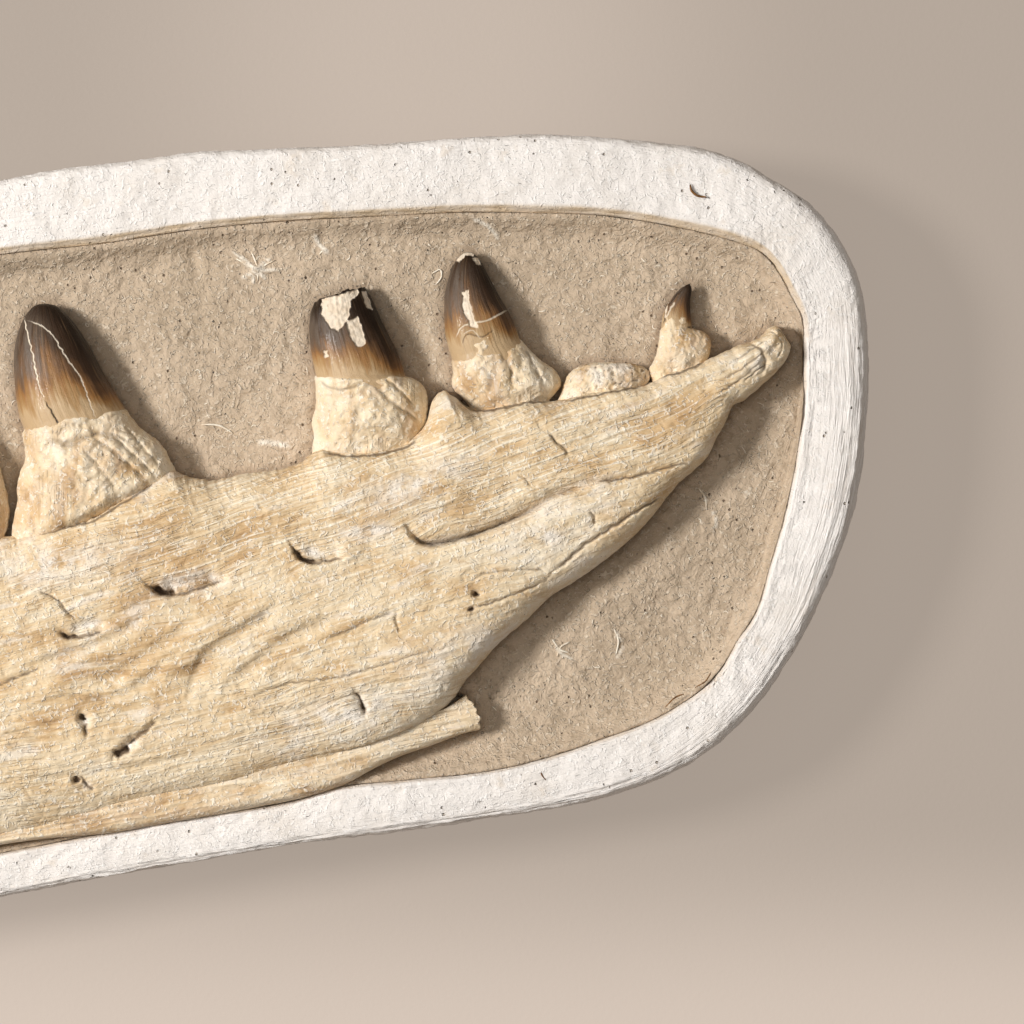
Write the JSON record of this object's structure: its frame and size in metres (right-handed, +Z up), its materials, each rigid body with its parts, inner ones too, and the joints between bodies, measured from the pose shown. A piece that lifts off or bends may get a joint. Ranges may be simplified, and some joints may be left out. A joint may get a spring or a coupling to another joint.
{
  "type": "fossil mosasaur lower jaw in a plaster jacket",
  "caption": "Toothed lower jaw bone of a mosasaur, prepared in relief on a block of marl that lies in a rimmed plaster field jacket.",
  "frame": {"origin": "middle of the footprint, on the flat underside of the plaster jacket", "axes": "+X along the block towards the tip of the jaw, +Y towards the teeth, +Z up out of the face of the block"},
  "size_m": [0.806, 0.287, 0.071],
  "materials": {
    "plaster": "matt off-white plaster with brush and finger marks and small air pits",
    "marl": "matt, fine sandy grey-beige rock with tool marks and chips",
    "bone": "cream to ochre fossil bone, satin, with fine grain along the jaw, cracks and nerve pits",
    "enamel": "glossy tooth enamel, dark brown at the tip to tan at the base, with fine upright striae and cracks"
  },
  "bodies": {
    "root": {"plaster_jacket": "plaster", "marl_matrix": "marl", "dentary": "bone", "splenial": "bone"}
  },
  "joints": []
}
